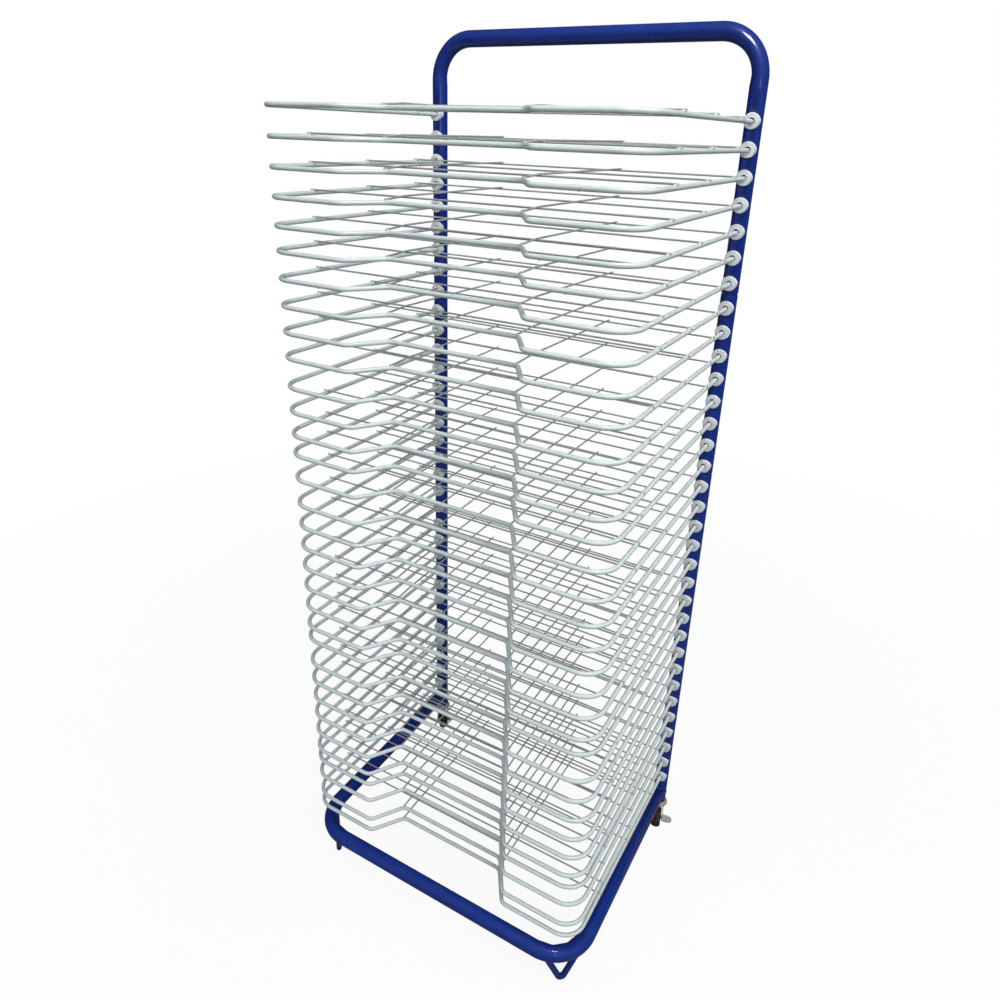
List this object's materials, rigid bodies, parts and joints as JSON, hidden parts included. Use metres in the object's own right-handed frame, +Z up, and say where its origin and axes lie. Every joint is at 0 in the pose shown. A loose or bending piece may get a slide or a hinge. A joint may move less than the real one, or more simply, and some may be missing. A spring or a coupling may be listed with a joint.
{
  "type": "art drying rack",
  "caption": "Tall mobile rack for drying paintings: wire trays plug into a bent tube frame that stands on castors and bent rod feet.",
  "frame": {"origin": "on the floor, midway between the axes of the two uprights", "axes": "+X to the rack's right seen from the front, +Y to its back, +Z up; the trays reach out towards -Y"},
  "size_m": [0.581, 0.4455, 1.437],
  "materials": {
    "frame_paint": "gloss blue powder coat on steel tube and rod",
    "tray_coating": "smooth white plastic coating on steel wire",
    "bush_plastic": "white moulded plastic, satin",
    "cap_plastic": "grey moulded plastic, satin",
    "castor_zinc": "yellowish zinc-plated pressed steel",
    "lever_zinc": "zinc-plated pressed steel, worn",
    "bright_steel": "bright steel",
    "hub_plastic": "dark brown moulded plastic",
    "tread_rubber": "dark brown-grey rubber, slightly dusty",
    "socket_plastic": "black moulded plastic"
  },
  "bodies": {
    "frame": {"top_hoop": "frame_paint", "left_middle_upright": "frame_paint", "right_middle_upright": "frame_paint", "left_lower_upright": "frame_paint", "right_lower_upright": "frame_paint", "joint_spigots": "frame_paint", "base_loop": "frame_paint", "left_front_foot": "frame_paint", "right_front_foot": "frame_paint", "front_bushes": "bush_plastic", "rear_caps": "cap_plastic", "left_castor_socket": "socket_plastic", "right_castor_socket": "socket_plastic", "left_castor_stem": "castor_zinc", "right_castor_stem": "castor_zinc"},
    "tray_01_body": {"tray_01": "tray_coating"},
    "tray_02_body": {"tray_02": "tray_coating"},
    "tray_03_body": {"tray_03": "tray_coating"},
    "tray_04_body": {"tray_04": "tray_coating"},
    "tray_05_body": {"tray_05": "tray_coating"},
    "tray_06_body": {"tray_06": "tray_coating"},
    "tray_07_body": {"tray_07": "tray_coating"},
    "tray_08_body": {"tray_08": "tray_coating"},
    "tray_09_body": {"tray_09": "tray_coating"},
    "tray_10_body": {"tray_10": "tray_coating"},
    "tray_11_body": {"tray_11": "tray_coating"},
    "tray_12_body": {"tray_12": "tray_coating"},
    "tray_13_body": {"tray_13": "tray_coating"},
    "tray_14_body": {"tray_14": "tray_coating"},
    "tray_15_body": {"tray_15": "tray_coating"},
    "tray_16_body": {"tray_16": "tray_coating"},
    "tray_17_body": {"tray_17": "tray_coating"},
    "tray_18_body": {"tray_18": "tray_coating"},
    "tray_19_body": {"tray_19": "tray_coating"},
    "tray_20_body": {"tray_20": "tray_coating"},
    "tray_21_body": {"tray_21": "tray_coating"},
    "tray_22_body": {"tray_22": "tray_coating"},
    "tray_23_body": {"tray_23": "tray_coating"},
    "tray_24_body": {"tray_24": "tray_coating"},
    "tray_25_body": {"tray_25": "tray_coating"},
    "tray_26_body": {"tray_26": "tray_coating"},
    "tray_27_body": {"tray_27": "tray_coating"},
    "tray_28_body": {"tray_28": "tray_coating"},
    "tray_29_body": {"tray_29": "tray_coating"},
    "tray_30_body": {"tray_30": "tray_coating"},
    "tray_31_body": {"tray_31": "tray_coating"},
    "tray_32_body": {"tray_32": "tray_coating"},
    "tray_33_body": {"tray_33": "tray_coating"},
    "left_castor_swivel": {"left_castor_fork": "castor_zinc", "left_castor_balls": "bright_steel", "left_castor_axle": "bright_steel"},
    "left_castor_roller": {"left_castor_wheel": "hub_plastic", "left_castor_tyre": "tread_rubber"},
    "left_castor_brake": {"left_castor_brake_lever": "lever_zinc"},
    "right_castor_swivel": {"right_castor_fork": "castor_zinc", "right_castor_balls": "bright_steel", "right_castor_axle": "bright_steel"},
    "right_castor_roller": {"right_castor_wheel": "hub_plastic", "right_castor_tyre": "tread_rubber"},
    "right_castor_brake": {"right_castor_brake_lever": "lever_zinc"}
  },
  "joints": [
    {"name": "tray_01_lift", "type": "hinge", "parent": "frame", "child": "tray_01_body", "pos_m": [0, 0.011, 1.31105], "axis": [-1, 0, 0], "range_deg": [0, 3.5]},
    {"name": "tray_02_lift", "type": "hinge", "parent": "frame", "child": "tray_02_body", "pos_m": [0, 0.011, 1.27385], "axis": [-1, 0, 0], "range_deg": [0, 3.5]},
    {"name": "tray_03_lift", "type": "hinge", "parent": "frame", "child": "tray_03_body", "pos_m": [0, 0.011, 1.23665], "axis": [-1, 0, 0], "range_deg": [0, 3.5]},
    {"name": "tray_04_lift", "type": "hinge", "parent": "frame", "child": "tray_04_body", "pos_m": [0, 0.011, 1.19945], "axis": [-1, 0, 0], "range_deg": [0, 3.5]},
    {"name": "tray_05_lift", "type": "hinge", "parent": "frame", "child": "tray_05_body", "pos_m": [0, 0.011, 1.16225], "axis": [-1, 0, 0], "range_deg": [0, 3.5]},
    {"name": "tray_06_lift", "type": "hinge", "parent": "frame", "child": "tray_06_body", "pos_m": [0, 0.011, 1.12505], "axis": [-1, 0, 0], "range_deg": [0, 3.3]},
    {"name": "tray_07_lift", "type": "hinge", "parent": "frame", "child": "tray_07_body", "pos_m": [0, 0.011, 1.08785], "axis": [-1, 0, 0], "range_deg": [0, 3.5]},
    {"name": "tray_08_lift", "type": "hinge", "parent": "frame", "child": "tray_08_body", "pos_m": [0, 0.011, 1.05065], "axis": [-1, 0, 0], "range_deg": [0, 3.5]},
    {"name": "tray_09_lift", "type": "hinge", "parent": "frame", "child": "tray_09_body", "pos_m": [0, 0.011, 1.01345], "axis": [-1, 0, 0], "range_deg": [0, 3.5]},
    {"name": "tray_10_lift", "type": "hinge", "parent": "frame", "child": "tray_10_body", "pos_m": [0, 0.011, 0.97625], "axis": [-1, 0, 0], "range_deg": [0, 3.5]},
    {"name": "tray_11_lift", "type": "hinge", "parent": "frame", "child": "tray_11_body", "pos_m": [0, 0.011, 0.93905], "axis": [-1, 0, 0], "range_deg": [0, 3.5]},
    {"name": "tray_12_lift", "type": "hinge", "parent": "frame", "child": "tray_12_body", "pos_m": [0, 0.011, 0.90185], "axis": [-1, 0, 0], "range_deg": [0, 3.5]},
    {"name": "tray_13_lift", "type": "hinge", "parent": "frame", "child": "tray_13_body", "pos_m": [0, 0.011, 0.86465], "axis": [-1, 0, 0], "range_deg": [0, 3.5]},
    {"name": "tray_14_lift", "type": "hinge", "parent": "frame", "child": "tray_14_body", "pos_m": [0, 0.011, 0.82745], "axis": [-1, 0, 0], "range_deg": [0, 3]},
    {"name": "tray_15_lift", "type": "hinge", "parent": "frame", "child": "tray_15_body", "pos_m": [0, 0.011, 0.79025], "axis": [-1, 0, 0], "range_deg": [0, 3.5]},
    {"name": "tray_16_lift", "type": "hinge", "parent": "frame", "child": "tray_16_body", "pos_m": [0, 0.011, 0.75305], "axis": [-1, 0, 0], "range_deg": [0, 3.5]},
    {"name": "tray_17_lift", "type": "hinge", "parent": "frame", "child": "tray_17_body", "pos_m": [0, 0.011, 0.71585], "axis": [-1, 0, 0], "range_deg": [0, 3.5]},
    {"name": "tray_18_lift", "type": "hinge", "parent": "frame", "child": "tray_18_body", "pos_m": [0, 0.011, 0.67865], "axis": [-1, 0, 0], "range_deg": [0, 3.5]},
    {"name": "tray_19_lift", "type": "hinge", "parent": "frame", "child": "tray_19_body", "pos_m": [0, 0.011, 0.64145], "axis": [-1, 0, 0], "range_deg": [0, 3.5]},
    {"name": "tray_20_lift", "type": "hinge", "parent": "frame", "child": "tray_20_body", "pos_m": [0, 0.011, 0.60425], "axis": [-1, 0, 0], "range_deg": [0, 3.5]},
    {"name": "tray_21_lift", "type": "hinge", "parent": "frame", "child": "tray_21_body", "pos_m": [0, 0.011, 0.56705], "axis": [-1, 0, 0], "range_deg": [0, 3.5]},
    {"name": "tray_22_lift", "type": "hinge", "parent": "frame", "child": "tray_22_body", "pos_m": [0, 0.011, 0.52985], "axis": [-1, 0, 0], "range_deg": [0, 3.5]},
    {"name": "tray_23_lift", "type": "hinge", "parent": "frame", "child": "tray_23_body", "pos_m": [0, 0.011, 0.49265], "axis": [-1, 0, 0], "range_deg": [0, 2.3]},
    {"name": "tray_24_lift", "type": "hinge", "parent": "frame", "child": "tray_24_body", "pos_m": [0, 0.011, 0.45545], "axis": [-1, 0, 0], "range_deg": [0, 3.5]},
    {"name": "tray_25_lift", "type": "hinge", "parent": "frame", "child": "tray_25_body", "pos_m": [0, 0.011, 0.41825], "axis": [-1, 0, 0], "range_deg": [0, 3.5]},
    {"name": "tray_26_lift", "type": "hinge", "parent": "frame", "child": "tray_26_body", "pos_m": [0, 0.011, 0.38105], "axis": [-1, 0, 0], "range_deg": [0, 3.5]},
    {"name": "tray_27_lift", "type": "hinge", "parent": "frame", "child": "tray_27_body", "pos_m": [0, 0.011, 0.34385], "axis": [-1, 0, 0], "range_deg": [0, 3.5]},
    {"name": "tray_28_lift", "type": "hinge", "parent": "frame", "child": "tray_28_body", "pos_m": [0, 0.011, 0.30665], "axis": [-1, 0, 0], "range_deg": [0, 3.5]},
    {"name": "tray_29_lift", "type": "hinge", "parent": "frame", "child": "tray_29_body", "pos_m": [0, 0.011, 0.26945], "axis": [-1, 0, 0], "range_deg": [0, 3.5]},
    {"name": "tray_30_lift", "type": "hinge", "parent": "frame", "child": "tray_30_body", "pos_m": [0, 0.011, 0.23225], "axis": [-1, 0, 0], "range_deg": [0, 2]},
    {"name": "tray_31_lift", "type": "hinge", "parent": "frame", "child": "tray_31_body", "pos_m": [0, 0.011, 0.19505], "axis": [-1, 0, 0], "range_deg": [0, 3.5]},
    {"name": "tray_32_lift", "type": "hinge", "parent": "frame", "child": "tray_32_body", "pos_m": [0, 0.011, 0.15785], "axis": [-1, 0, 0], "range_deg": [0, 3.5]},
    {"name": "tray_33_lift", "type": "hinge", "parent": "frame", "child": "tray_33_body", "pos_m": [0, 0.011, 0.12065], "axis": [-1, 0, 0], "range_deg": [0, 2.2]},
    {"name": "left_castor_turn", "type": "hinge", "parent": "frame", "child": "left_castor_swivel", "pos_m": [-0.264, 0, 0.0432], "axis": [0, 0, 1], "continuous": true},
    {"name": "left_wheel_spin", "type": "hinge", "parent": "left_castor_swivel", "child": "left_castor_roller", "pos_m": [-0.25372, -0.01226, 0.02], "axis": [0.766, 0.6428, 0], "continuous": true},
    {"name": "left_brake_press", "type": "hinge", "parent": "left_castor_swivel", "child": "left_castor_brake", "pos_m": [-0.25372, -0.01226, 0.02], "axis": [0.766, 0.6428, 0], "range_deg": [0, 40]},
    {"name": "right_castor_turn", "type": "hinge", "parent": "frame", "child": "right_castor_swivel", "pos_m": [0.264, 0, 0.0432], "axis": [0, 0, 1], "continuous": true},
    {"name": "right_wheel_spin", "type": "hinge", "parent": "right_castor_swivel", "child": "right_castor_roller", "pos_m": [0.2676, -0.01559, 0.02], "axis": [0.9744, 0.225, 0], "continuous": true},
    {"name": "right_brake_press", "type": "hinge", "parent": "right_castor_swivel", "child": "right_castor_brake", "pos_m": [0.2676, -0.01559, 0.02], "axis": [0.9744, 0.225, 0], "range_deg": [0, 40]}
  ]
}
